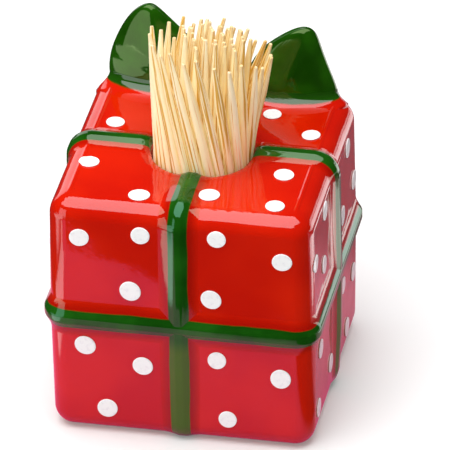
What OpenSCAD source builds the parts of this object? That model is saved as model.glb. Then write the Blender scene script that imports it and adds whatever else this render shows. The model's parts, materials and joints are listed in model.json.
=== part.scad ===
// Toothpick holder: a glazed earthenware present with a raised ribbon, a bow and a round mouth full of toothpicks.
// Origin at the centre of the footprint, on the table. X runs to the right, Y to the back, Z up. Millimetres.

/* [Box] */
// Width of the box at its widest, behind the belt
box_w = 53.5; // [50:0.5:58]
// Depth of the box at its widest, behind the belt
box_d = 52; // [49:0.5:57]
// Height of the box, without the ribbon
box_h = 53; // [49:0.5:58]
// Radius of the box's rounded edges
edge_r = 4; // [3.6:0.1:4.6]
// How far each side leans in from the belt to the top and to the foot
side_draft = 0.3; // [0.2:0.1:1]
// Thickness of the fired wall
wall = 3.2; // [2.6:0.1:3.4]
// Height of the well's floor over the table
floor_z = 11.75; // [9:0.25:14]
// Thickness of the well's floor
floor_t = 3.6; // [2.5:0.1:4.5]
// Width of the foot ring that stands on the table
foot_w = 3; // [2:0.25:4]

/* [Mouth] */
// Radius of the round mouth
mouth_r = 10.3; // [9:0.1:11.5]
// Rounding of the mouth's lip
lip_r = 1.4; // [0.8:0.1:2]

/* [Ribbon] */
// Width of the ribbon that goes over the top and down the sides
ribbon_w = 4.2; // [3:0.1:5]
// Width of the belt round the sides
belt_w = 4.4; // [3:0.1:5.5]
// Height of the belt's middle over the table
belt_z = 26.75; // [24:0.25:29]
// How far the ribbon and the belt stand proud of the box
ribbon_t = 1.3; // [0.8:0.1:1.6]

/* [Dots] */
// Diameter of the enamel dots
dot_d = 4.2; // [3.5:0.1:4.8]
// How far the dots stand proud of the box
dot_t = 0.3; // [0.2:0.05:0.5]

/* [Bow] */
// How far the left loop rises over the top
left_rise = 18; // [16:0.5:22]
// How far the right loop rises over the top
right_rise = 16.5; // [15:0.5:21]
// Distance from the bow's middle plane to the box's back
bow_inset = 2.7; // [2.4:0.1:4]
// Distance from a loop's outer side to the box's side
loop_inset = 3.8; // [2:0.1:5]
// How far a loop's tip lies from the bow's middle
tip_reach = 16; // [13:0.5:18]
// Thickness of a loop at its rim, from front to back
loop_t = 4.4; // [4:0.1:4.8]
// Thickness of a loop at its puffed belly
belly_t = 5.4; // [4.8:0.1:6]
// Width of the groove between a loop's two layers
groove_w = 1; // [0.6:0.1:1.4]
// Diameter of the knot
knot_d = 7; // [6.2:0.2:7.4]
// How far the knot rises over the top
knot_rise = 9; // [8:0.25:10]

/* [Toothpicks] */
// Length of a toothpick
pick_l = 65; // [60:1:68]
// Diameter of a toothpick
pick_d = 1.9; // [1.6:0.05:2.2]
// Diameter of a toothpick's blunt tip
tip_d = 0.7; // [0.4:0.05:0.9]
// Length of a toothpick's pointed end
point_l = 10; // [6:0.5:12]
// Clearance between the outer circle of toothpicks and the mouth
mouth_gap = 0.3; // [0.25:0.05:0.6]
// Clearance between the outer circle and the inner bunch
bunch_gap = 0.1; // [0.08:0.01:0.2]
// Clearance between neighbours in the inner bunch, at its waist
pick_gap = 0.08; // [0.06:0.01:0.15]
// Clearance between neighbours in the outer circle, at its waist
circle_gap = 0.15; // [0.1:0.01:0.4]
// Most that a toothpick's lower tip is held over the floor by its neighbours
hold_up = 5; // [0:0.25:6]
// Clearance between a toothpick and the floor
floor_gap = 0.1; // [0.05:0.05:0.3]

/* [Hidden] */
// The outer circle twists and opens more than the inner bunch, as sideways travel for each unit of height
CIRCLE_TWIST_SHARE = 0.27;
CIRCLE_OPEN_SHARE = 0.018;
// The most that one toothpick of the circle differs from the next
STRAY_TWIST_SHARE = 0.004;
STRAY_OPEN_SHARE = 0.03;
// The inner bunch's twist and opening at its rim, for each unit of height
BUNCH_TWIST_SHARE = 0.067;
BUNCH_OPEN_SHARE = 0.014;
// The whole bunch leans to the right by this much for each unit of height
LEAN_SHARE = 0.085;
// How much of the hold comes from the place, from none at the back to all at the front. Chance gives the rest
FRONT_HELD_SHARE = 0.5;
// The ribbon's ends slope back from the mouth by this much for each unit of height
FLARE_SHARE = 0.25;
// A fraction that spreads repeated values evenly and in no visible order
GOLDEN_SHARE = 0.618034;
// Squared distances from the bunch's middle, in pitches, that end its core and its middle ring
CORE_NORM = 1;
MIDDLE_NORM = 4;

// One overrun for every cut that must pass a face
cut = wall;
// How far the lowest balls of the box's form reach under the table, where the form is cut flat
BALL_SINK_SHARE = 0.025;
ball_sink = edge_r * BALL_SINK_SHARE;
// Segments of a turned shape, of the balls inside a hull and of a toothpick
ROUND_FN = 48;
BALL_FN = 32;
PICK_FN = 20;

top_z = box_h;
foot_ball_x = box_w / 2 - side_draft - edge_r;
foot_ball_y = box_d / 2 - side_draft - edge_r;
belt_ball_x = box_w / 2 - edge_r;
belt_ball_y = box_d / 2 - edge_r;
foot_ball_z = edge_r - ball_sink;
// A ball's highest facet lies this share of its radius over its middle
ball_top_share = cos(180 / BALL_FN);
top_ball_z = top_z - edge_r * ball_top_share;
hollow_r = edge_r - wall;
reach = max(box_w, box_d);
belt_top = belt_z + belt_w / 2;
belt_foot = belt_z - belt_w / 2;

bow_y = box_d / 2 - bow_inset;
loop_reach = box_w / 2 - loop_inset;
loop_r = loop_t / 2;
tip_r = loop_r * 3 / 4;
belly_r = belly_t / 2;
groove_r = groove_w / 2;
knot_r = knot_d / 2;

// The bunch's waist lies half way up the mouth's straight part
waist_z = top_z - lip_r - (wall - lip_r) / 2;
pick_r = pick_d / 2;
circle_r = mouth_r - mouth_gap - pick_r;
circle_count = floor(180 / asin((pick_d + circle_gap) / (2 * circle_r * cos(atan(CIRCLE_TWIST_SHARE)))));
bunch_r = circle_r - pick_d - bunch_gap;
// The bunch is narrower at its own waist, further down, than at the mouth
bunch_waist_share = BUNCH_TWIST_SHARE / norm([BUNCH_TWIST_SHARE, BUNCH_OPEN_SHARE]);
bunch_pitch = (pick_d + pick_gap) / bunch_waist_share;
bunch_norm = pow(bunch_r / bunch_pitch, 2);
lattice_reach = ceil(sqrt(bunch_norm));

// Dots on a side, each as shares: across from the ribbon's edge to the side's edge, up from the belt's edge to the
// top, or down to the foot where it is negative, and of the dot's diameter
FRONT_DOT_SHARES = [
    [-0.72, 0.69, 0.99], [-0.22, 0.76, 0.97], [-0.31, 0.22, 1.05],
    [0.23, 0.79, 0.96], [0.76, 0.63, 0.96], [0.18, 0.21, 1.06],
    [-0.69, -0.16, 1.08], [-0.22, -0.31, 1.00], [-0.52, -0.75, 1.06],
    [0.22, -0.19, 0.97], [0.74, -0.31, 1.04], [0.30, -0.75, 0.97]
];
RIGHT_DOT_SHARES = [
    [-0.79, 0.52, 0.95], [-0.44, 0.30, 1.00], [-0.36, 0.77, 1.00],
    [0.50, 0.76, 1.00], [0.22, 0.27, 1.02], [0.74, 0.31, 1.00],
    [0.23, -0.23, 0.95], [-0.62, -0.22, 1.02], [-0.16, -0.64, 0.95],
    [-0.70, -0.74, 0.98], [0.70, -0.38, 1.00], [0.42, -0.75, 1.02]
];
BACK_DOT_SHARES = [
    [-0.74, 0.66, 1.00], [-0.25, 0.27, 0.98], [-0.67, 0.21, 1.02],
    [0.24, 0.64, 1.03], [0.75, 0.68, 0.96], [0.59, 0.19, 1.00],
    [-0.65, -0.24, 1.02], [-0.25, -0.62, 0.97], [-0.74, -0.71, 1.00],
    [0.27, -0.24, 1.00], [0.74, -0.19, 0.98], [0.56, -0.69, 1.04]
];
LEFT_DOT_SHARES = [
    [-0.72, 0.61, 0.98], [-0.26, 0.36, 1.02], [-0.63, 0.19, 0.95],
    [0.26, 0.66, 1.00], [0.74, 0.53, 1.00], [0.39, 0.19, 1.03],
    [-0.67, -0.19, 1.00], [-0.28, -0.55, 1.04], [-0.72, -0.71, 0.96],
    [0.28, -0.17, 1.00], [0.69, -0.33, 0.97], [0.41, -0.71, 1.01]
];
// Dots on the top, each as shares: across from the ribbon's edge to the side, back from the ribbon's edge to the
// back or front, and of the dot's diameter
TOP_DOT_SHARES = [
    [-0.77, -0.31, 1.02], [-0.27, -0.76, 1.05], [0.64, -0.24, 1.05], [0.11, -0.66, 1.04],
    [0.66, -0.74, 1.00], [-0.69, 0.18, 0.92], [0.37, 0.53, 0.95], [0.74, 0.25, 0.95]
];

CIRCLE_NODES = [for (i = [1:circle_count]) str("pick_", i)];

// A value between 0 and 1 that jumps about from one number to the next
function scatter(i, start_share) = (i * GOLDEN_SHARE + start_share) % 1;

// A place on one side of the ribbon, from its share of the way to the edge
function past_ribbon(share, half) = sign(share) * ribbon_w / 2 + share * (half - ribbon_w / 2);

// A height over the belt's upper edge or under its lower edge, from its share of the way to the top or to the foot
function past_belt(share) = share > 0 ? belt_top + share * (top_z - belt_top) : belt_foot + share * belt_foot;

// Four balls at the corners of one level of the box
module corner_balls(half_x, half_y, z, r) {
    for (sx = [-1, 1], sy = [-1, 1])
        translate([sx * half_x, sy * half_y, z])
            sphere(r, $fn = BALL_FN);
}

// Everything over the table, up to a height
module over_table(height) {
    translate([-reach, -reach, 0])
        cube([2 * reach, 2 * reach, height]);
}

// The outside of the box, grown by a thickness all round and not yet cut flat at the table
module full_form(grow) {
    hull() {
        corner_balls(foot_ball_x, foot_ball_y, foot_ball_z, edge_r + grow);
        corner_balls(belt_ball_x, belt_ball_y, belt_z, edge_r + grow);
        corner_balls(foot_ball_x, foot_ball_y, top_ball_z, edge_r + grow);
    }
}

// The outside of the box, grown by a thickness all round but never below the table
module gift_form(grow) {
    intersection() {
        full_form(grow);
        over_table(top_z + edge_r);
    }
}

// The hollow inside the walls, open at the bottom, where the base closes it
module hollow_form() {
    hull() {
        corner_balls(foot_ball_x, foot_ball_y, -cut, hollow_r);
        corner_balls(belt_ball_x, belt_ball_y, belt_z, hollow_r);
        corner_balls(foot_ball_x, foot_ball_y, top_ball_z, hollow_r);
    }
}

// The straight part of the round mouth, as the space that is cut out
module mouth_bore() {
    translate([0, 0, top_z - wall - edge_r])
        cylinder(r = mouth_r, h = wall + edge_r + cut, $fn = ROUND_FN);
}

// The ring of space over the mouth's rounded lip, up to a height over the top
module lip_ring(over) {
    translate([0, 0, top_z - lip_r])
        rotate_extrude($fn = ROUND_FN)
            difference() {
                translate([mouth_r - lip_r, 0])
                    square([2 * lip_r, lip_r + over]);
                translate([mouth_r + lip_r, 0])
                    circle(lip_r, $fn = ROUND_FN);
            }
}

// The flared space over the mouth, where the ribbon's ends slope back from the toothpicks
module mouth_flare() {
    translate([0, 0, top_z - lip_r])
        cylinder(r1 = mouth_r, r2 = mouth_r + FLARE_SHARE * (lip_r + cut), h = lip_r + cut, $fn = ROUND_FN);
}

module box_shell() {
    color([0.80, 0.05, 0.05])
        difference() {
            gift_form(0);
            hollow_form();
            mouth_bore();
            lip_ring(cut);
        }
}

// The well's floor, with the foot ring round a hollow underside
module base() {
    recess_x = foot_ball_x - foot_w - edge_r;
    recess_y = foot_ball_y - foot_w - edge_r;
    color([0.78, 0.06, 0.06])
        difference() {
            intersection() {
                gift_form(0);
                hollow_form();
                over_table(floor_z);
            }
            hull()
                for (sx = [-1, 1], sy = [-1, 1])
                    translate([sx * recess_x, sy * recess_y, -cut])
                        cylinder(r = edge_r, h = cut + floor_z - floor_t, $fn = BALL_FN);
        }
}

// A skin of the given thickness on the outside of the box, where its children are
module on_surface(thickness) {
    difference() {
        intersection() {
            gift_form(thickness);
            children();
        }
        full_form(0);
    }
}

module belt_band() {
    translate([-reach, -reach, belt_foot])
        cube([2 * reach, 2 * reach, belt_w]);
}

module belt_ribbon() {
    color([0.05, 0.36, 0.10])
        on_surface(ribbon_t)
            belt_band();
}

// The flat slice of space that holds the strip on one side: 0 faces front, 90 right, 180 back and 270 left
module side_slice(turn) {
    rotate([0, 0, turn])
        translate([-ribbon_w / 2, -reach, 0])
            cube([ribbon_w, reach, top_z + edge_r]);
}

// A strip from the mouth's lip over one edge and down to the foot, open where the belt and the bow are
module side_ribbon(turn) {
    color([0.06, 0.40, 0.12])
        difference() {
            union() {
                on_surface(ribbon_t)
                    side_slice(turn);
                intersection() {
                    lip_ring(ribbon_t / 2);
                    side_slice(turn);
                }
            }
            mouth_bore();
            mouth_flare();
            belt_band();
            knot_form();
            loop_form(-1, left_rise);
            loop_form(1, right_rise);
        }
}

module ribbon_front() {
    side_ribbon(0);
}

module ribbon_right() {
    side_ribbon(90);
}

module ribbon_back() {
    side_ribbon(180);
}

module ribbon_left() {
    side_ribbon(270);
}

// An upright post with a round top, from below the top of the box up to a height over it
module post(x, height, r) {
    translate([x, bow_y, top_z - r])
        cylinder(r = r, h = height, $fn = BALL_FN);
    translate([x, bow_y, top_z + height - r])
        sphere(r, $fn = BALL_FN);
}

// One loop of the bow: a puffed triangle that stands on the back edge, on the side given by a sign
module loop_form(side, rise) {
    hull() {
        post(side * (loop_reach - loop_r), rise / 3 + loop_r, loop_r);
        post(side * knot_r / 2, knot_rise / 2 + loop_r, loop_r);
        translate([side * tip_reach, bow_y, top_z + rise - tip_r])
            sphere(tip_r, $fn = BALL_FN);
        translate([side * tip_reach, bow_y, top_z + rise / 3])
            sphere(belly_r, $fn = BALL_FN);
    }
}

// The groove between a loop's two layers, along its inner slope
module loop_groove(side, rise) {
    translate([0, bow_y, top_z])
        hull() {
            translate([side * tip_reach, 0, rise])
                sphere(groove_r, $fn = BALL_FN);
            translate([side * knot_r / 2, 0, knot_rise / 2 + loop_r])
                sphere(groove_r, $fn = BALL_FN);
        }
}

module bow_loop(side, rise) {
    color([0.05, 0.38, 0.12])
        difference() {
            loop_form(side, rise);
            full_form(0);
            knot_form();
            loop_groove(side, rise);
        }
}

module bow_loop_left() {
    bow_loop(-1, left_rise);
}

module bow_loop_right() {
    bow_loop(1, right_rise);
}

// The knot: an upright pill with its foot sunk in the top
module knot_form() {
    hull()
        post(0, knot_rise, knot_r);
}

module bow_knot() {
    color([0.04, 0.34, 0.10])
        difference() {
            knot_form();
            full_form(0);
        }
}

// Round pads that stand through one side of the box, from a table of shares
module side_dots(table, turn, half) {
    color([0.95, 0.95, 0.96])
        on_surface(dot_t)
            rotate([0, 0, turn])
                for (dot = table)
                    translate([past_ribbon(dot[0], half), 0, past_belt(dot[1])])
                        rotate([90, 0, 0])
                            cylinder(d = dot_d * dot[2], h = reach, $fn = ROUND_FN);
}

module dots_front() {
    side_dots(FRONT_DOT_SHARES, 0, box_w / 2);
}

module dots_right() {
    side_dots(RIGHT_DOT_SHARES, 90, box_d / 2);
}

module dots_back() {
    side_dots(BACK_DOT_SHARES, 180, box_w / 2);
}

module dots_left() {
    side_dots(LEFT_DOT_SHARES, 270, box_d / 2);
}

module dots_top() {
    color([0.95, 0.95, 0.96])
        on_surface(dot_t)
            for (dot = TOP_DOT_SHARES)
                translate([past_ribbon(dot[0], box_w / 2), past_ribbon(dot[1], box_d / 2), top_z - edge_r])
                    cylinder(d = dot_d * dot[2], h = 2 * edge_r, $fn = ROUND_FN);
}

// How far toothpick number i is held over the floor, from its place between the front, -1, and the back, 1
function held(i, start_share, place) =
    hold_up * (FRONT_HELD_SHARE * (1 - place) / 2 + (1 - FRONT_HELD_SHARE) * scatter(i, start_share));

// A toothpick that stands on its lower tip
module toothpick() {
    color([0.93, 0.80, 0.55]) {
        cylinder(d1 = tip_d, d2 = pick_d, h = point_l, $fn = PICK_FN);
        translate([0, 0, point_l])
            cylinder(d = pick_d, h = pick_l - 2 * point_l, $fn = PICK_FN);
        translate([0, 0, pick_l - point_l])
            cylinder(d1 = pick_d, d2 = tip_d, h = point_l, $fn = PICK_FN);
    }
}

// A toothpick on the line that passes a point of the waist with a sideways slope, held over the floor
module pick_on_line(waist, slope, lift) {
    tilt = atan(norm(slope));
    low_z = floor_z + floor_gap + lift + tip_d / 2 * sin(tilt);
    foot = waist + slope * (low_z - waist_z);
    translate([foot[0], foot[1], low_z])
        rotate([0, tilt, atan2(slope[1], slope[0])])
            toothpick();
}

// Toothpick number i of the outer circle. It leans sideways along the circle and a little outwards.
module circle_pick(i) {
    a = 360 / circle_count * i;
    outward = [cos(a), sin(a)];
    along = [sin(a), -cos(a)];
    twist = CIRCLE_TWIST_SHARE + STRAY_TWIST_SHARE * (2 * scatter(i, 0.2) - 1);
    open = CIRCLE_OPEN_SHARE + STRAY_OPEN_SHARE * scatter(i, 0.7);
    pick_on_line(circle_r * outward, open * outward + twist * along + [LEAN_SHARE, 0], held(i, 0.4, sin(a)));
}

// Places on a hex lattice with a squared distance from low to high, in pitches
function lattice(low, high) = [
    for (q = [-lattice_reach:lattice_reach], r = [-lattice_reach:lattice_reach])
        let (n = q * q + q * r + r * r)
            if (n >= low && n <= high) [q + r / 2, r * sqrt(3) / 2]
];

// Toothpicks of the inner bunch, from one squared distance to another
module bunch_picks(low, high) {
    spots = lattice(low, high);
    for (i = [0:len(spots) - 1]) {
        waist = spots[i] * bunch_pitch;
        open = waist / bunch_r * BUNCH_OPEN_SHARE;
        twist = [waist[1], -waist[0]] / bunch_r * BUNCH_TWIST_SHARE;
        lift = held(i, low * GOLDEN_SHARE, waist[1] / circle_r);
        pick_on_line(waist, open + twist + [LEAN_SHARE, 0], lift);
    }
}

module picks_core() {
    bunch_picks(0, CORE_NORM);
}

module picks_middle_ring() {
    bunch_picks(CORE_NORM + 1, MIDDLE_NORM);
}

module picks_outer_ring() {
    bunch_picks(MIDDLE_NORM + 1, bunch_norm);
}

box_shell();
base();
belt_ribbon();
ribbon_front();
ribbon_right();
ribbon_back();
ribbon_left();
bow_loop_left();
bow_loop_right();
bow_knot();
dots_front();
dots_back();
dots_left();
dots_right();
dots_top();
picks_core();
picks_middle_ring();
picks_outer_ring();
for (i = [1:circle_count])
    circle_pick(i);
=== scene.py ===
"""A toothpick holder: a glazed earthenware present with a raised ribbon and a mouth full of toothpicks."""
import json
from math import cos, hypot, pi, radians, sin, sqrt

import bpy
from mathutils import Matrix, Vector

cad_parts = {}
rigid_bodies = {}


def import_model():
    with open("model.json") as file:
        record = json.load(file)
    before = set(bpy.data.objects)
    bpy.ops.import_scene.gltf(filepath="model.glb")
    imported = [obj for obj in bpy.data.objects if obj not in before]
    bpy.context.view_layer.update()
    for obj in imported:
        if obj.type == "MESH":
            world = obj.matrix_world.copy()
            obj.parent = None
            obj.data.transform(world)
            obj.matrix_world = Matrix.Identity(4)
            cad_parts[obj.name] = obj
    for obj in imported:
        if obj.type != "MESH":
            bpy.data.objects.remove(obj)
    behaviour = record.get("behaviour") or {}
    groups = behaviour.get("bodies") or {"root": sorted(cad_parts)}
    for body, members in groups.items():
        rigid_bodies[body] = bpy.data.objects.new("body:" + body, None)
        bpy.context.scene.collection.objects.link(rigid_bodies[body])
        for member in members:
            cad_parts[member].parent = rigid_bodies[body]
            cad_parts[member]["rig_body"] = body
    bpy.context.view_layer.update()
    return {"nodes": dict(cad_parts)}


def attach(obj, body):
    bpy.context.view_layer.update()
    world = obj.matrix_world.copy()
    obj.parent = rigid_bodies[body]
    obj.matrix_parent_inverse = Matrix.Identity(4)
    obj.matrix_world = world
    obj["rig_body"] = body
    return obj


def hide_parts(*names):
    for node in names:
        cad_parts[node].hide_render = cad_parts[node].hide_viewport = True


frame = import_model()

# Camera
# The view is through a long lens from far back, a little to the right of the front and well above it. The
# angles and the distance were fitted to the box's corners; the small tilt is that of a hand-held camera.
MM = 0.001
turn, height, tilt = radians(11.8), radians(31.8), radians(0.97)
distance, focal_px, frame_px, off_right_px, off_up_px = 1.548, 7723, 450, 20.2, 30.4
aim = Vector((0, 0, 27.7 * MM))
back = Vector((sin(turn) * cos(height), -cos(turn) * cos(height), sin(height)))
right = Vector((cos(turn), sin(turn), 0))
up = back.cross(right)
right, up = right * cos(tilt) - up * sin(tilt), right * sin(tilt) + up * cos(tilt)
eye = aim + back * distance
# The box's middle isn't the picture's middle: the lens points a little past it, to the right and up.
aim += (right * off_right_px + up * off_up_px) / focal_px * distance
back = (eye - aim).normalized()
right = (right - back * right.dot(back)).normalized()
up = back.cross(right)
bpy.ops.object.camera_add()
camera = bpy.context.object
camera.name = "camera"
camera.matrix_world = Matrix.Translation(eye) @ Matrix((right, up, back)).transposed().to_4x4()
camera.data.sensor_width = 36
camera.data.lens = camera.data.sensor_width * focal_px / frame_px
camera.data.clip_start, camera.data.clip_end = 0.05, 20
bpy.context.scene.camera = camera
bpy.context.scene.view_settings.view_transform = "Standard"


# Studio
# A white table in a dim room, with a large softbox above the front, one at the left, and a wide backdrop of
# light behind. The glaze shows painted reflections: for mirror rays only, the table turns pink and glows on
# a bright patch, whose near edge lies closer at the right than at the left, and on a few white cards, which
# glow and are no lamps. The camera sees the table plain white.


class Wire:
    """A socket of a recipe. Sums on it add Math nodes."""

    def __init__(self, recipe, socket):
        self.recipe, self.socket = recipe, socket

    def sum_with(self, operation, first, second):
        return self.recipe.add("Math", {"operation": operation}, {0: first, 1: second})

    def __add__(self, other):
        return self.sum_with("ADD", self, other)

    def __mul__(self, other):
        return self.sum_with("MULTIPLY", self, other)

    def __sub__(self, other):
        return self.sum_with("SUBTRACT", self, other)

    def __rsub__(self, other):
        return self.sum_with("SUBTRACT", other, self)

    def __abs__(self):
        return self.sum_with("ABSOLUTE", self, 0)

    __radd__, __rmul__ = __add__, __mul__


class Recipe:
    """A material, or the room's air, while it is mixed, with the few steps that every finish here needs."""

    def __init__(self, name, kept_in=bpy.data.materials, shader="Principled BSDF"):
        self.material = kept_in.new(name)
        self.material.use_nodes = True
        self.tree = self.material.node_tree
        self.shader = self.tree.nodes[shader]
        self.place = self.add("TexCoord", out="Object")

    def add(self, kind, settings=None, inputs=None, out=0):
        node = self.tree.nodes.new("ShaderNode" + kind)
        for key, value in (settings or {}).items():
            setattr(node, key, value)
        for key, value in (inputs or {}).items():
            self.feed(node.inputs[key], value)
        return Wire(self, node.outputs[out])

    def feed(self, socket, value):
        """Links or sets a socket. A colour is given as three numbers."""
        if isinstance(value, Wire):
            self.tree.links.new(value.socket, socket)
        else:
            socket.default_value = (*value, 1) if isinstance(value, tuple) else value

    def set(self, **inputs):
        for key, value in inputs.items():
            self.feed(self.shader.inputs[key.replace("_", " ")], value)

    def noise(self, size, detail=2.0):
        """Soft noise whose features are about as large as the given size, in metres."""
        return self.add("TexNoise", {}, {"Vector": self.place, "Scale": 1 / size, "Detail": detail})

    def step(self, value, low, high):
        """0 below low and 1 above high, with a soft passage between them."""
        ends = {"Value": value, "From Min": low, "From Max": high}
        return self.add("MapRange", {"interpolation_type": "SMOOTHSTEP"}, ends)

    def blend(self, first, second, share):
        """One colour passing into another."""
        return self.add("Mix", {"data_type": "RGBA"}, {0: share, 6: first, 7: second}, 2)

    def axis(self, name, place=None):
        return self.add("SeparateXYZ", {}, {0: place or self.place}, name)

    def bump(self, relief, depth):
        """Lays a height of 0 to 1 on the surface, with the given depth in metres."""
        normal = self.add("Bump", {}, {"Strength": 1.0, "Distance": depth, "Height": relief})
        self.feed(self.shader.inputs["Normal"], normal)

    def largest(self, first, second):
        return self.add("Math", {"operation": "MAXIMUM"}, {0: first, 1: second})


bpy.ops.mesh.primitive_circle_add(vertices=96, radius=3, fill_type="NGON", location=(0, 0, 0))
table = bpy.context.object
table.name = "table"
sheet = Recipe("white_sheet")
across, away = sheet.axis("X"), sheet.axis("Y")


def card(left, right, front, behind, soft=0.006):
    """1 inside a rectangle of the sheet, with soft edges."""
    inside = sheet.step(across, left - soft, left) * (1 - sheet.step(across, right, right + soft))
    return inside * sheet.step(away, front - soft, front) * (1 - sheet.step(away, behind, behind + soft))


# Painted reflections: white cards that glow only in the glaze, two far out at the left for the bow's left
# loop, one before the left front panel, two beside the right face and a large one behind it.
painted_reflection_cards = card(-0.24, -0.10, -0.24, -0.06, 0.02) + card(-0.70, -0.21, -0.80, -0.20, 0.02)
painted_reflection_cards = painted_reflection_cards + card(0.050, 0.060, 0.036, 0.09, 0.004) * 0.7 + card(-0.076, -0.053, -0.088, -0.036)
painted_reflection_cards = painted_reflection_cards + card(0.070, 0.098, 0.010, 0.050) + card(0.09, 0.60, 0.13, 0.60, 0.03)
# The painted reflection's bright patch: its near edge is straight at the left and slants at the right,
# beside a dark gap.
front_edge = sheet.step(away, -0.074, -0.066)
slant_edge = sheet.step(away * 0.76 - across * 0.65, -0.053, -0.050)
bright = sheet.largest(front_edge, slant_edge)
bright = bright * sheet.step(across, -0.074, -0.066) * (1 - sheet.step(away, 0.030, 0.060) * 0.7)
bright = bright * (1 - sheet.step(across, 0.030, 0.036) * (1 - sheet.step(away, -0.014, -0.004)))
cooler = sheet.step(across, 0.026, 0.030) * sheet.step(away, -0.030, -0.020)
cooler = sheet.largest(cooler, sheet.step(away, 0.0, 0.02))
# Mirror rays see the sheet in a painted reflection colour: pink, duller at the back and the right, and
# nearly black off the bright patch.
mirrored = sheet.blend((0.90, 0.20, 0.42), (0.50, 0.27, 0.30), cooler)
mirrored = sheet.blend((0.03, 0.03, 0.03), mirrored, bright)
mirror_ray = sheet.add("LightPath", out="Is Glossy Ray")
camera_ray = sheet.add("LightPath", out="Is Camera Ray")
plain = sheet.blend((0.55, 0.55, 0.55), (0.80, 0.80, 0.80), camera_ray)
sheet.set(Roughness=0.9, Specular_IOR_Level=0.0, Base_Color=sheet.blend(plain, mirrored, mirror_ray))
glow = sheet.blend((0, 0, 0), (0.05, 0.05, 0.05), camera_ray)
# For mirror rays the bright patch glows pink and the cards glow white: painted reflections with no lamp
# behind them.
mirrored_glow = sheet.blend(sheet.blend((0, 0, 0), (0.09, 0.02, 0.05), bright), (1, 1, 1), painted_reflection_cards)
sheet.set(Emission_Color=sheet.blend(glow, mirrored_glow, mirror_ray), Emission_Strength=2.6)
table.data.materials.append(sheet.material)


def softbox(name, place, size, radiance):
    """A softbox that faces the holder. Its power follows from how bright its cloth looks."""
    bpy.ops.object.light_add(type="AREA", location=place)
    lamp = bpy.context.object
    lamp.name = name
    lamp.data.shape = "RECTANGLE"
    lamp.data.size, lamp.data.size_y = size
    lamp.data.energy = radiance * size[0] * size[1] * pi
    middle_of_box = Vector((0, 0, 30 * MM))
    lamp.rotation_euler = (Vector(place) - middle_of_box).to_track_quat("Z", "Y").to_euler()
    lamp.visible_camera = False


softbox("softbox_overhead", (-0.06, -0.08, 0.62), (0.60, 0.74), 3.9)
softbox("backdrop", (-0.30, 0.85, 0.22), (1.20, 0.40), 1.4)
softbox("backdrop_low", (0.58, 0.85, 0.06), (0.56, 0.10), 1.8)
softbox("softbox_left", (-0.50, -0.68, 0.22), (0.52, 0.60), 2.2)

# The room's air is white to the camera, dim as a light, and nearly dark in the glaze.
AIR_SEEN, AIR_LIGHT, AIR_LOST_IN_GLAZE = 1.0, 0.34, 0.30
room = Recipe("dim_room", bpy.data.worlds, "Background")
bpy.context.scene.world = room.material
camera_ray = room.add("LightPath", out="Is Camera Ray")
mirror_ray = room.add("LightPath", out="Is Glossy Ray")
air = room.add("MapRange", {}, {"Value": camera_ray, "To Min": AIR_LIGHT, "To Max": AIR_SEEN})
room.set(Color=(1, 1, 1), Strength=air - mirror_ray * AIR_LOST_IN_GLAZE)

# Box
# The body is slip-cast earthenware: a cube with soft edges whose sides swell a little towards the belt. It
# is dipped in red glaze, which pools beside the ribbon and holds a few pinholes.
WIDTH, DEPTH, TOP, BELT_Z = 53.5 * MM, 52 * MM, 53 * MM, 26.75 * MM
DRAFT, EDGE, WALL, MOUTH = 0.3 * MM, 4 * MM, 3.2 * MM, 10.3 * MM
LIP_WIDE, LIP_DEEP = 2.6 * MM, 1.3 * MM
NEAR = 0.01 * MM


def pick_up(piece):
    """Makes a piece the only one selected."""
    bpy.ops.object.select_all(action="DESELECT")
    piece.select_set(True)
    bpy.context.view_layer.objects.active = piece


def work_on(piece, kind, **settings):
    """Adds a modifier and applies it."""
    pick_up(piece)
    modifier = piece.modifiers.new(kind.lower(), kind)
    for key, value in settings.items():
        setattr(modifier, key, value)
    bpy.ops.object.modifier_apply(modifier=modifier.name)


def choose(piece, test, kind="vertices"):
    """Selects the vertices, edges or faces whose place passes a test, and stays in edit mode."""
    pick_up(piece)
    bpy.ops.object.mode_set(mode="EDIT")
    bpy.ops.mesh.select_mode(type={"vertices": "VERT", "edges": "EDGE", "polygons": "FACE"}[kind])
    bpy.ops.mesh.select_all(action="DESELECT")
    bpy.ops.object.mode_set(mode="OBJECT")
    mesh = piece.data
    for part in getattr(mesh, kind):
        if kind == "vertices":
            part.select = test(part.co)
        elif kind == "edges":
            part.select = all(test(mesh.vertices[v].co) for v in part.vertices)
        else:
            part.select = test(part.center)
    bpy.ops.object.mode_set(mode="EDIT")


def slice_at(piece, along, at, drop=None, fill=False):
    """Cuts a piece at a plane square to an axis, and may drop what lies above or below it."""
    choose(piece, lambda co: True)
    plane = [0.0, 0.0, 0.0]
    plane[along] = at
    square = [float(i == along) for i in range(3)]
    sides = {"clear_outer": drop == "above", "clear_inner": drop == "below"}
    bpy.ops.mesh.bisect(plane_co=plane, plane_no=square, use_fill=fill, threshold=1e-7, **sides)
    bpy.ops.object.mode_set(mode="OBJECT")


def settle(piece, angle=40):
    """Turns the faces outwards and smooths the shading, with flat faces kept flat."""
    choose(piece, lambda co: True)
    bpy.ops.mesh.remove_doubles(threshold=1e-7)
    bpy.ops.mesh.normals_make_consistent(inside=False)
    bpy.ops.object.mode_set(mode="OBJECT")
    bpy.ops.object.shade_smooth_by_angle(angle=radians(angle))
    work_on(piece, "WEIGHTED_NORMAL", keep_sharp=True)


def wear(piece, recipe, body="holder", replaces=()):
    """Gives a piece its finish, its body and the CAD nodes that it stands for."""
    piece.data.materials.clear()
    piece.data.materials.append(recipe.material)
    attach(piece, body)
    if replaces:
        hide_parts(*replaces)


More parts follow.
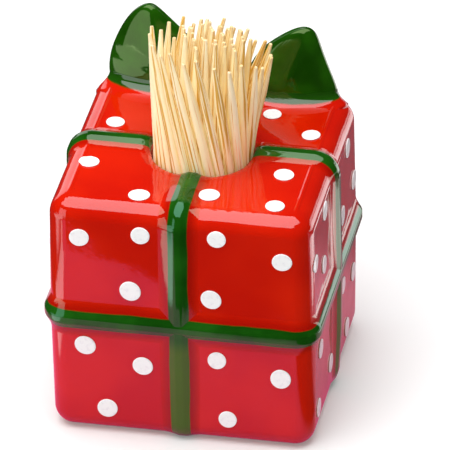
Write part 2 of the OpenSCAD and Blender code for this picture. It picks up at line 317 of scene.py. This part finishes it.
bpy.ops.object.select_all(action="DESELECT")
bpy.ops.mesh.primitive_cube_add(size=1, location=(0, 0, TOP / 2), scale=(WIDTH, DEPTH, TOP))
form = bpy.context.object
form.name = "form"
bpy.ops.object.transform_apply(location=True, rotation=False, scale=True)
slice_at(form, 2, BELT_Z)
for level_z in (0, TOP):
    choose(form, lambda co: abs(co.z - level_z) < MM)
    narrower = (1 - 2 * DRAFT / WIDTH, 1 - 2 * DRAFT / DEPTH, 1)
    bpy.ops.transform.resize(value=narrower, center_override=(0, 0, level_z))
    bpy.ops.object.mode_set(mode="OBJECT")
work_on(form, "BEVEL", width=EDGE, segments=10, limit_method="ANGLE", angle_limit=radians(30))


def copy_of(piece, name):
    """A copy with a mesh of its own."""
    twin = bpy.data.objects.new(name, piece.data.copy())
    bpy.context.scene.collection.objects.link(twin)
    return twin


def red_glaze(recipe):
    """The red glaze's colour: a little lighter and darker in slow clouds, with a few dark pinholes."""
    clouds = recipe.noise(16 * MM, 1.5)
    colour = recipe.blend((0.54, 0.0060, 0.0002), (0.64, 0.0120, 0.0006), recipe.step(clouds, 0.35, 0.68))
    cells = {"Vector": recipe.place, "Scale": 1 / (3.4 * MM), "Randomness": 1.0}
    hole = 1 - recipe.step(recipe.add("TexVoronoi", {}, cells, "Distance"), 0.020, 0.034)
    speck = hole * recipe.step(recipe.noise(4 * MM, 0.0), 0.54, 0.56)
    return recipe.blend(colour, (0.22, 0.004, 0.004), speck)


def gloss(recipe, ripple):
    """A thick clear glaze: nearly a mirror, with a slow ripple of a given depth and a fine orange peel."""
    slow = recipe.noise(11 * MM, 1.0)
    peel = recipe.noise(1.1 * MM, 1.0)
    recipe.set(Roughness=0.035 + recipe.noise(5 * MM, 2.0) * 0.03, IOR=1.56)
    recipe.bump(slow + peel * 0.05, ripple)


box = copy_of(form, "glazed_box")
choose(box, lambda co: co.z < NEAR, "polygons")
bpy.ops.mesh.delete(type="FACE")
bpy.ops.object.mode_set(mode="OBJECT")
# A fine raised line, left by the mould, runs along the top's left and right edges, short of the corners.
SEAM, SEAM_LANE, SEAM_LANES, SEAM_HIGH = WIDTH / 2 - EDGE, 0.22 * MM, 3, 0.24 * MM
SEAM_END, SEAM_GONE = 19.5 * MM, 20.8 * MM
for side in (-1, 1):
    for lane in range(-SEAM_LANES, SEAM_LANES + 1):
        slice_at(box, 0, side * (SEAM + lane * SEAM_LANE))
    for end in (SEAM_END, SEAM_GONE):
        slice_at(box, 1, side * end)
for vertex in box.data.vertices:
    lane = abs(abs(vertex.co.x) - SEAM) / SEAM_LANE
    if vertex.co.z > TOP - EDGE / 10 and abs(vertex.co.y) < SEAM_END + NEAR and lane < SEAM_LANES - 0.5:
        vertex.co.z += SEAM_HIGH * cos(lane / SEAM_LANES * pi / 2) ** 2
work_on(box, "SOLIDIFY", thickness=WALL, offset=-1)
bpy.ops.mesh.primitive_cylinder_add(vertices=128, radius=MOUTH, depth=20 * MM, location=(0, 0, TOP))
cutter = bpy.context.object
bpy.ops.object.transform_apply(location=True)
work_on(box, "BOOLEAN", operation="DIFFERENCE", object=cutter, solver="EXACT")
choose(box, lambda co: abs(hypot(co.x, co.y) - MOUTH) < 2 * NEAR and abs(co.z - TOP) < 2 * NEAR, "edges")
bpy.ops.mesh.bevel(offset=LIP_WIDE, segments=10, affect="EDGES")
bpy.ops.object.mode_set(mode="OBJECT")
lip_reach = LIP_WIDE * 1.01
choose(box, lambda co: hypot(co.x, co.y) < MOUTH + lip_reach and co.z > TOP - lip_reach)
bpy.ops.transform.resize(value=(1, 1, LIP_DEEP / LIP_WIDE), center_override=(0, 0, TOP))
bpy.ops.object.mode_set(mode="OBJECT")
settle(box)
red = Recipe("red_glaze")
red.set(Base_Color=red_glaze(red))
gloss(red, 0.22 * MM)
wear(box, red, replaces=["box_shell"])

# Base
# The well's floor and the foot ring are part of the same casting. The glaze is wiped off the foot before
# the firing, so the ring shows bare clay with a ragged red edge.
base = frame["nodes"]["base"]
foot = Recipe("wiped_foot")
ragged = foot.axis("Z") + foot.noise(2.5 * MM, 3.0) * (0.5 * MM)
clay = foot.blend((0.62, 0.42, 0.30), (0.74, 0.56, 0.42), foot.noise(1.2 * MM, 4.0))
wiped = 1 - foot.step(ragged, 0.40 * MM, 0.62 * MM)
foot.set(Base_Color=foot.blend(red_glaze(foot), clay, wiped), Roughness=0.08 + wiped * 0.7)
foot.bump(foot.noise(0.5 * MM, 3.0) * wiped, 0.06 * MM)
base.data.materials.clear()
base.data.materials.append(foot.material)

# Ribbon
# A belt and four straps stand proud of the casting as one soft ridge with hollow flanks. They are painted
# green by hand over the red, so the paint's edge wanders a little and bleeds into the red glaze.
RIDGE, FLANK, PAINT, PAINT_EDGE, PAINT_WANDER = 0.7 * MM, 4.6 * MM, 2.0 * MM, 0.14 * MM, 0.6 * MM
BELT_PROUD, STRAP_PROUD, BACKING, TUCK = 1.27 * MM, 1.2 * MM, 0.8 * MM, 0.05 * MM
FOOT_SHARE, FOOT_SLOPE = 0.45, 24 * MM
LANES = (0.0, 0.35, 0.7, 1.0, 1.3, 1.6, 1.9, 2.25, 2.7, 3.2, 3.8)


def ridge(off, proud):
    """How high the ribbon stands at a distance from its middle line, with its edge tucked under the skin."""
    share = min(max((abs(off) - RIDGE) / (FLANK - RIDGE), 0), 1) ** 0.62
    return proud * (1 - share * share * (3 - 2 * share)) - TUCK * share * share


def raise_ridge(piece, along, middle, proud):
    """Cuts a band of the box's skin into narrow lanes and lifts them into the ridge, lower at the foot."""
    for lane in LANES:
        for side in (-1, 1):
            slice_at(piece, along, middle + side * lane * MM)
    lifts = []
    for vertex in piece.data.vertices:
        fullness = min(1, FOOT_SHARE + vertex.co.z / FOOT_SLOPE)
        lifts.append(vertex.normal * ridge(vertex.co[along] - middle, proud * fullness))
    for vertex, lift in zip(piece.data.vertices, lifts):
        vertex.co += lift


def green_glaze(recipe, off):
    """The green glaze's colour, with the red beside it where the paint ends."""
    wander = (recipe.noise(7 * MM, 1.0) - 0.5) * PAINT_WANDER
    past_paint = recipe.step(abs(off) + wander, PAINT - PAINT_EDGE, PAINT + PAINT_EDGE)
    streaks = recipe.noise(9 * MM, 2.0)
    paint = recipe.blend((0.004, 0.052, 0.0008), (0.011, 0.098, 0.0040), recipe.step(streaks, 0.30, 0.72))
    # Below the belt the paint is lighter and more olive: a painted reflection of the white floor.
    painted_floor_reflection = 1 - recipe.step(recipe.axis("Z"), BELT_Z - 6 * MM, BELT_Z - 2 * MM)
    paint = recipe.blend(paint, (0.066, 0.125, 0.0030), painted_floor_reflection * 0.8)
    pooled = 1 - recipe.step(abs(off), PAINT, FLANK * 0.95)
    red_beside = recipe.blend(red_glaze(recipe), (0.34, 0.003, 0.0002), pooled * 0.85)
    return recipe.blend(paint, red_beside, past_paint)


COOL_SHINE, WARM_SHINE = (0.4, 1, 0.75), (0.8, 1, 0.75)


def painted_ribbon(name, along, middle, shine):
    """The finish of a strip whose width runs along an axis."""
    recipe = Recipe(name)
    recipe.set(Base_Color=green_glaze(recipe, recipe.axis("XYZ"[along]) - middle), Specular_Tint=shine)
    gloss(recipe, 0.14 * MM)
    return recipe


belt = copy_of(form, "ribbon_belt")
slice_at(belt, 2, BELT_Z - FLANK, drop="below")
slice_at(belt, 2, BELT_Z + FLANK, drop="above")
raise_ridge(belt, 2, BELT_Z, BELT_PROUD)
work_on(belt, "SOLIDIFY", thickness=BACKING, offset=-1)
settle(belt, 60)
belt_paint = painted_ribbon("green_glaze_belt", 2, BELT_Z, COOL_SHINE)
wear(belt, belt_paint, replaces=["belt_ribbon"])

# One form serves all four straps: from the mouth's lip, over the top's edge and down to the foot. It is cut
# across at the lip and near the foot, where it bends.
LIP_STEP, INNER_END = 0.3 * MM, 8.5 * MM
FLARE_WIDE, FLARE_LONG, FLARE_RISE = 2.0 * MM, 8 * MM, 2.7 * MM
strap = copy_of(form, "strap")
slice_at(strap, 0, -FLANK, drop="below")
slice_at(strap, 0, FLANK, drop="above")
slice_at(strap, 1, 0, drop="above")
for step in range(10):
    slice_at(strap, 1, -MOUTH - LIP_WIDE + step * LIP_STEP)
slice_at(strap, 1, -INNER_END, drop="above")
for height_mm in range(4, 18, 2):
    slice_at(strap, 2, height_mm * MM)
choose(strap, lambda co: co.z < NEAR, "polygons")
bpy.ops.mesh.delete(type="FACE")
bpy.ops.object.mode_set(mode="OBJECT")
raise_ridge(strap, 0, 0, STRAP_PROUD)
for vertex in strap.data.vertices:
    dip = min((MOUTH + LIP_WIDE - hypot(vertex.co.x, vertex.co.y)) / LIP_WIDE, 0.999)
    if vertex.co.z > TOP - MM and dip > 0:
        vertex.co.z -= LIP_DEEP * (1 - sqrt(1 - dip * dip))
work_on(strap, "SOLIDIFY", thickness=BACKING, offset=-1)
# The strap's inner end is cut back to the mouth and flares with its lip.
bpy.ops.object.select_all(action="DESELECT")
bpy.ops.mesh.primitive_cone_add(vertices=96, radius1=MOUTH, radius2=MOUTH + FLARE_WIDE, depth=FLARE_LONG,
                                location=(0, 0, TOP + FLARE_RISE))
flare = bpy.context.object
bpy.ops.object.transform_apply(location=True)
for tool in (cutter, flare):
    work_on(strap, "BOOLEAN", operation="DIFFERENCE", object=tool, solver="EXACT")
    bpy.data.objects.remove(tool)
slice_at(strap, 2, 0, drop="below", fill=True)
for quarter, name in enumerate(("front", "right", "back", "left")):
    piece = copy_of(strap, "strap_" + name)
    on_side = quarter % 2
    for vertex in piece.data.vertices:
        # The box is wider than deep, so all that lies beyond the lip moves out on the sides.
        if on_side and vertex.co.y < -15 * MM:
            vertex.co.y -= (WIDTH - DEPTH) / 2
    piece.data.transform(Matrix.Rotation(quarter * pi / 2, 4, "Z"))
    settle(piece, 60)
    paint = painted_ribbon("green_glaze_" + name, on_side, 0.0, WARM_SHINE if on_side else COOL_SHINE)
    wear(piece, paint, replaces=["ribbon_" + name])
bpy.data.objects.remove(strap)

# Dots
# Each dot is a drop of thick white enamel, set down with a round brush: a low dome that follows the surface
# and isn't quite round. It lies where the CAD has a pad, and is smaller than that by its own small amount.
enamel = Recipe("white_enamel")
cloudy = enamel.noise(0.9 * MM, 3.0)
enamel.set(Base_Color=enamel.blend((0.89, 0.88, 0.90), (0.97, 0.97, 0.97), enamel.step(cloudy, 0.30, 0.5)))
enamel.set(Roughness=0.10 + enamel.noise(2 * MM) * 0.08)
enamel.bump(enamel.noise(1.0 * MM, 2.0), 0.06 * MM)
bpy.ops.object.select_all(action="DESELECT")
bpy.ops.mesh.primitive_circle_add(vertices=36, radius=1, fill_type="NGON")
drop = bpy.context.object
drop.name = "drop"
bpy.ops.object.mode_set(mode="EDIT")
for ring in (0.14, 0.2, 0.25, 0.2):
    bpy.ops.mesh.inset(thickness=ring)
bpy.ops.object.mode_set(mode="OBJECT")
# Each drop starts clear of its face and is then laid on the glaze. Sizes are shares of the pad's.
CLEAR, ENAMEL_THICK, ENAMEL_RIM = 2 * MM, 0.26 * MM, 0.16 * MM
SIZE, SIZE_SPREAD, OUT_OF_ROUND = 0.955, 0.03, 0.035
FACES = {"front": (0, -1, 0), "right": (1, 0, 0), "back": (0, 1, 0), "left": (-1, 0, 0), "top": (0, 0, 1)}
count = 0
for face, outward in FACES.items():
    pads = copy_of(frame["nodes"]["dots_" + face], "pads")
    choose(pads, lambda co: True)
    bpy.ops.mesh.remove_doubles(threshold=1e-6)
    bpy.ops.mesh.separate(type="LOOSE")
    bpy.ops.object.mode_set(mode="OBJECT")
    outward = Vector(outward)
    laid = []
    for pad in list(bpy.context.selected_objects):
        corners = [Vector(c) for c in pad.bound_box]
        low, high = Vector(map(min, *corners)), Vector(map(max, *corners))
        middle, size = (low + high) / 2, high - low
        count += 1
        radius = max(size) / 2 * (SIZE + SIZE_SPREAD * sin(count * 4.1))
        stretch = 1 + OUT_OF_ROUND * sin(count * 2.4)
        spot = copy_of(drop, "spot")
        turned = outward.to_track_quat("Z", "X").to_matrix().to_4x4() @ Matrix.Rotation(count * 1.7, 4, "Z")
        sized = Matrix.Diagonal((radius * stretch, radius / stretch, 1, 1))
        spot.data.transform(Matrix.Translation(middle + outward * CLEAR) @ turned @ sized)
        laid.append(spot)
        bpy.data.objects.remove(pad)
    bpy.ops.object.select_all(action="DESELECT")
    for spot in laid:
        spot.select_set(True)
    bpy.context.view_layer.objects.active = laid[0]
    bpy.ops.object.join()
    dots = bpy.context.object
    dots.name = "enamel_" + face
    dots.data.name = "enamel_" + face
    both_ways = {"use_negative_direction": True, "use_positive_direction": True}
    both_ways["use_project_" + "xyz"[max(range(3), key=lambda i: abs(outward[i]))]] = True
    work_on(dots, "SHRINKWRAP", target=box, wrap_method="PROJECT", **both_ways)
    work_on(dots, "SOLIDIFY", thickness=ENAMEL_THICK, offset=1)
    work_on(dots, "BEVEL", width=ENAMEL_RIM, segments=3, limit_method="ANGLE", angle_limit=radians(50))
    settle(dots, 70)
    wear(dots, enamel, replaces=["dots_" + face])
bpy.data.objects.remove(drop)

# Bow
# Two puffed loops and a knot are cast with the box at the top's back edge. Each loop is a pointed leaf with
# a groove along its inner slope, where the ribbon's two layers meet. The same green glaze covers all of it.
# The outlines are in millimetres, from the box's middle and from its top.
BOW_Y = 23.3 * MM
LEFT_LOOP = [(-2.3, -1.6), (-2.5, 2.3), (-3.9, 7.2), (-6.9, 11.1), (-8.9, 13.1), (-11.3, 15.5),
             (-13.5, 17.7), (-15.2, 18.8), (-17.9, 17.3), (-20.1, 14.6), (-21.9, 11.1), (-23.3, 7.4),
             (-23.9, 3.9), (-23.8, 1.0), (-22.9, -0.6), (-21.7, -2.2), (-15.3, -1.8), (-8.3, -1.8)]
RIGHT_LOOP = [(3.5, -1.6), (3.7, 1.5), (5.1, 6.9), (7.4, 10.2), (9.6, 12.3), (12.0, 14.1),
              (14.3, 15.6), (16.8, 16.3), (18.6, 15.1), (19.4, 12.7), (20.6, 8.7), (21.9, 5.1),
              (22.9, 2.3), (23.1, 0.3), (22.4, -0.6), (21.6, -1.8), (15.5, -1.8), (9.1, -1.8)]
# The groove is 0.9 mm deep, at the points of the inner slope.
SLOPE, GROOVE = range(2, 7), 0.9
# How far in each ring of a face lies, as a share of the rim, and how many millimetres it stands out.
PUFF = ((1.0, 0.6), (0.94, 1.3), (0.76, 2.3), (0.52, 3.2), (0.26, 3.9))
BACK_SHARE, LEAN = 0.72, 0.12 * Vector((-0.21, 1, -0.62))
LEAF_DARK, LEAF_LIGHT = (0.006, 0.046, 0.0004), (0.012, 0.084, 0.0016)
green = Recipe("green_glaze_bow")
pooled = green.step(green.noise(6 * MM, 2.0), 0.32, 0.70)
green.set(Base_Color=green.blend(LEAF_DARK, LEAF_LIGHT, pooled), Specular_Tint=(0.75, 1, 0.45))
gloss(green, 0.12 * MM)


def puffed_loop(name, outline, node):
    """A leaf of the given outline: its rim is widest in the middle plane, and both faces swell."""
    bpy.ops.object.select_all(action="DESELECT")
    bpy.ops.mesh.primitive_circle_add(vertices=len(outline), radius=1, fill_type="NOTHING")
    loop = bpy.context.object
    loop.name = name
    rim = []
    for i, (x, z) in enumerate(outline):
        groove = GROOVE if i in SLOPE else 0.0
        rim.append(Vector((x * MM, BOW_Y, (z - groove) * MM + TOP)))
    for vertex, place in zip(loop.data.vertices, rim):
        vertex.co = place
    # The rings of a face draw in towards a point that lies low, on the bow's inner side.
    middle = sum(x for x, z in outline) / len(outline)
    heart = Vector((middle * 0.80 * MM, BOW_Y, TOP + 0.12 * max(z for x, z in outline) * MM))
    for face in (-1, 1):
        choose(loop, lambda co: abs(co.y - BOW_Y) < NEAR)
        last = 1.0
        for share, out in PUFF:
            bpy.ops.mesh.extrude_edges_move(TRANSFORM_OT_translate={"value": (0, face * NEAR, 0)})
            bpy.ops.object.mode_set(mode="OBJECT")
            for vertex in loop.data.vertices:
                if not vertex.select:
                    continue
                if share == 1.0:
                    nearest = min(range(len(rim)), key=lambda k: (vertex.co - rim[k]).length)
                    vertex.co.z = TOP + outline[nearest][1] * MM
                vertex.co.x = heart.x + (vertex.co.x - heart.x) * share / last
                vertex.co.z = heart.z + (vertex.co.z - heart.z) * share / last
                vertex.co.y = BOW_Y + face * out * MM * (BACK_SHARE if face > 0 else 1)
            last = share
            bpy.ops.object.mode_set(mode="EDIT")
        bpy.ops.mesh.edge_face_add()
        bpy.ops.object.mode_set(mode="OBJECT")
    work_on(loop, "SUBSURF", levels=3, render_levels=3)
    for vertex in loop.data.vertices:
        vertex.co += LEAN * max(vertex.co.z - TOP, 0)
    settle(loop, 80)
    wear(loop, green, replaces=[node])
    return loop


# The glazes have run together round the loops' feet: green above, red where the fillet meets the top.
run_glaze = Recipe("run_glaze")
line = run_glaze.axis("Z") - TOP + (run_glaze.noise(4 * MM, 2.0) - 0.5) * (0.2 * MM)
leaf_green = run_glaze.blend(LEAF_DARK, LEAF_LIGHT, run_glaze.noise(6 * MM, 2.0))
above_line = run_glaze.step(line, 0.48 * MM, 0.74 * MM)
run_glaze.set(Base_Color=run_glaze.blend(red_glaze(run_glaze), leaf_green, above_line))
gloss(run_glaze, 0.12 * MM)
COLLAR_SIDES, COLLAR_STEPS, COLLAR_RISE, COLLAR_SUNK, COLLAR_INSET = 56, 7, 2.4 * MM, 0.8, 0.2 * MM


def glaze_collar(name, loop, low_x, high_x, reach):
    """A hollow fillet from the box's top to the foot of a loop, wider at the front."""
    bpy.context.view_layer.update()
    middle, half, deep = (low_x + high_x) / 2 * MM, (high_x - low_x) / 2 * MM, 3 * MM
    foot = []
    for i in range(COLLAR_SIDES):
        angle = 2 * pi * i / COLLAR_SIDES
        heart = Vector((middle + (half - deep) * cos(angle), BOW_Y, TOP + COLLAR_RISE * 0.6))
        outwards = Vector((cos(angle) * 0.7, sin(angle), 0)).normalized()
        hit, place, _, _ = loop.ray_cast(heart + outwards * (4 * deep), -outwards)
        foot.append((place if hit else heart + outwards * deep, outwards))
    bpy.ops.object.select_all(action="DESELECT")
    bpy.ops.mesh.primitive_circle_add(vertices=COLLAR_SIDES, radius=1, fill_type="NGON")
    collar = bpy.context.object
    collar.name = name
    mesh = collar.data
    # Each ring has a share of the reach and one of the rise: in the casting, up the hollow, in the loop.
    bends = [pi / 2 * i / (COLLAR_STEPS - 1) for i in range(COLLAR_STEPS)]
    rings = [(1.0, -COLLAR_SUNK)] + [(1 - sin(bend), 1 - cos(bend)) for bend in bends] + [(-0.4, 0.9)]
    for number, (off, high) in enumerate(rings):
        bpy.ops.object.mode_set(mode="EDIT")
        if number:
            bpy.ops.mesh.inset(thickness=0)
        bpy.ops.object.mode_set(mode="OBJECT")
        inner = next(polygon for polygon in mesh.polygons if polygon.select)
        for corner, vertex in enumerate(inner.vertices):
            place, outwards = foot[corner]
            co = place + outwards * off * reach * (1 + max(-outwards.y, 0))
            # It keeps inside the back face and follows the box's soft edge down.
            co.y = min(co.y, DEPTH / 2 - COLLAR_INSET)
            past = Vector((max(abs(co.x) - WIDTH / 2 + EDGE, 0), max(abs(co.y) - DEPTH / 2 + EDGE, 0)))
            rounding = EDGE - sqrt(max(EDGE ** 2 - past.length_squared, (0.4 * EDGE) ** 2))
            mesh.vertices[vertex].co = (co.x, co.y, TOP - rounding + high * COLLAR_RISE)
    choose(collar, lambda co: False)
    bpy.ops.mesh.select_non_manifold()
    bpy.ops.mesh.edge_face_add()
    bpy.ops.object.mode_set(mode="OBJECT")
    settle(collar, 70)
    wear(collar, run_glaze)


left_leaf = puffed_loop("loop_left", LEFT_LOOP, "bow_loop_left")
glaze_collar("collar_left", left_leaf, -23.6, -2.4, 2.5 * MM)
right_leaf = puffed_loop("loop_right", RIGHT_LOOP, "bow_loop_right")
glaze_collar("collar_right", right_leaf, 3.6, 23.0, 2.1 * MM)

# The knot is a band round the ribbon's middle, drawn in along its centre.
KNOT_RISE, KNOT_SIZE = 3.2 * MM, (6.8 * MM, 6.6 * MM, 11.2 * MM)
bpy.ops.object.select_all(action="DESELECT")
bpy.ops.mesh.primitive_cube_add(size=1, location=(0, BOW_Y, TOP + KNOT_RISE), scale=KNOT_SIZE)
knot = bpy.context.object
knot.name = "knot"
bpy.ops.object.transform_apply(location=True, rotation=False, scale=True)
for fold_mm in (-1.6, 0, 1.6):
    slice_at(knot, 0, fold_mm * MM)
choose(knot, lambda co: abs(co.x) < 0.1 * MM)
bpy.ops.transform.resize(value=(1, 0.84, 0.95), center_override=(0, BOW_Y, TOP))
bpy.ops.object.mode_set(mode="OBJECT")
work_on(knot, "SUBSURF", levels=4, render_levels=4)
settle(knot, 80)
wear(knot, green, replaces=["bow_knot"])

# Toothpicks
# Round birch toothpicks, 65 mm long and 1.9 mm thick, turned to a blunt tip at both ends. They stand on the
# well's floor, squeezed by the mouth, so they splay and twist. Each lies on the line of its CAD stick.
birch = Recipe("birch")
round_it = birch.add("UVMap", {"uv_map": "grain"})
# The stick's number is the whole part of the layout's first axis; the rest of it runs round the stick.
around, along_it = birch.axis("X", round_it), birch.axis("Y", round_it)
stick = birch.add("Math", {"operation": "FLOOR"}, {0: around})
luck = birch.add("TexWhiteNoise", {"noise_dimensions": "1D"}, {"W": stick}, "Value")
fibres = birch.add("CombineXYZ", {}, {0: around * 15.0, 1: along_it * 1.6, 2: luck * 40.0})
grain = birch.add("TexNoise", {}, {"Vector": fibres, "Scale": 1.0, "Detail": 4.0, "Roughness": 0.6})
dark_fibre = birch.step(grain, 0.52, 0.60)
colour = birch.blend((0.99, 0.82, 0.45), (1.0, 0.90, 0.62), luck)
colour = birch.blend(colour, (0.71, 0.39, 0.04), dark_fibre)
tips = 1 - birch.step(along_it, 0.0, 0.03) * (1 - birch.step(along_it, 0.97, 1.0))
birch.set(Base_Color=birch.blend(colour, (0.62, 0.36, 0.15), tips * 0.35), Roughness=0.52 + grain * 0.2)
# The sticks glow a little, warm and most in their lower part, and less in the dark fibres: painted light
# that lifts the shade inside the bundle.
glow = birch.blend((1.0, 0.84, 0.44), (0.42, 0.32, 0.17), birch.step(along_it, 0.74, 0.92))
birch.set(Emission_Color=birch.blend(glow, (0.12, 0.05, 0.0), dark_fibre), Emission_Strength=0.11)
birch.bump(grain, 0.05 * MM)
LENGTH, THICK, TIP, POINT = 65 * MM, 1.9 * MM, 0.7 * MM, 10 * MM
bpy.ops.object.select_all(action="DESELECT")
bpy.ops.mesh.primitive_cylinder_add(vertices=16, radius=THICK / 2, depth=LENGTH)
stick_form = bpy.context.object
stick_form.name = "stick"
for end in (-1, 1):
    for share in (1.0, 0.66, 0.36, 0.12):
        slice_at(stick_form, 2, end * (LENGTH / 2 - POINT * share))
for lane in (-0.6, -0.2, 0.2, 0.6):
    slice_at(stick_form, 2, lane * LENGTH / 2)
for vertex in stick_form.data.vertices:
    left = (LENGTH / 2 - abs(vertex.co.z)) / POINT
    if left < 0.99:
        slim = TIP / THICK + (1 - TIP / THICK) * (1 - (1 - left) ** 1.12)
        vertex.co.x *= slim
        vertex.co.y *= slim
choose(stick_form, lambda co: LENGTH / 2 - abs(co.z) < NEAR, "edges")
bpy.ops.mesh.bevel(offset=0.12 * MM, segments=2, affect="EDGES")
bpy.ops.object.mode_set(mode="OBJECT")
while stick_form.data.uv_layers:
    stick_form.data.uv_layers.remove(stick_form.data.uv_layers[0])
# The layout runs round the stick on its first axis, inside one unit, and along it on the second.
lay = stick_form.data.uv_layers.new(name="grain")
for polygon in stick_form.data.polygons:
    turns = []
    for corner in polygon.loop_indices:
        co = stick_form.data.vertices[stick_form.data.loops[corner].vertex_index].co
        share = Vector((co.x, co.y)).angle_signed(Vector((1, 0)), 0) / (2 * pi) % 1
        turns.append((corner, share, co.z / LENGTH + 0.5))
    wide = max(t[1] for t in turns) - min(t[1] for t in turns) > 0.5
    for corner, share, rise in turns:
        share += 1 if wide and share < 0.5 else 0
        lay.data[corner].uv = (0.02 + share * 0.6, rise)
BEND = 0.10 * MM


def stick_on(number, centre, direction):
    """A toothpick on a line. Every one has its own turn, bend, grain and tone."""
    piece = copy_of(stick_form, "stick")
    for corner in piece.data.uv_layers["grain"].data:
        corner.uv.x += number
    for vertex in piece.data.vertices:
        share = 2 * vertex.co.z / LENGTH
        vertex.co.x += BEND * (1 - share * share) * sin(number * 2.1)
    turned = direction.to_track_quat("Z", "X").to_matrix().to_4x4() @ Matrix.Rotation(number * 2.4, 4, "Z")
    piece.data.transform(Matrix.Translation(centre) @ turned)
    return piece


def tip_of(points, end):
    """The middle of the points that lie close to an end."""
    close = [point for point in points if (point - end).length < TIP * 1.2]
    return sum(close, Vector()) / len(close)


def lines_of(node):
    """The middle and the direction of each stick in a CAD node."""
    rods = copy_of(frame["nodes"][node], "rods")
    choose(rods, lambda co: True)
    bpy.ops.mesh.remove_doubles(threshold=1e-6)
    bpy.ops.mesh.separate(type="LOOSE")
    bpy.ops.object.mode_set(mode="OBJECT")
    found = []
    for rod in list(bpy.context.selected_objects):
        points = [vertex.co.copy() for vertex in rod.data.vertices]
        low = tip_of(points, min(points, key=lambda point: point.z))
        high = tip_of(points, max(points, key=lambda point: point.z))
        found.append(((low + high) / 2, (high - low).normalized()))
        bpy.data.objects.remove(rod)
    return found


number = 0
for node in [name for name in frame["nodes"] if name.startswith("pick")]:
    bundle = []
    for centre, direction in lines_of(node):
        number += 1
        bundle.append(stick_on(number, centre, direction))
    bpy.ops.object.select_all(action="DESELECT")
    for piece in bundle:
        piece.select_set(True)
    bpy.context.view_layer.objects.active = bundle[0]
    if len(bundle) > 1:
        bpy.ops.object.join()
    piece = bpy.context.object
    piece.name = "birch_" + node
    bpy.ops.object.shade_smooth_by_angle(angle=radians(50))
    wear(piece, birch, body=frame["nodes"][node]["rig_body"], replaces=[node])
bpy.data.objects.remove(stick_form)
bpy.data.objects.remove(form)
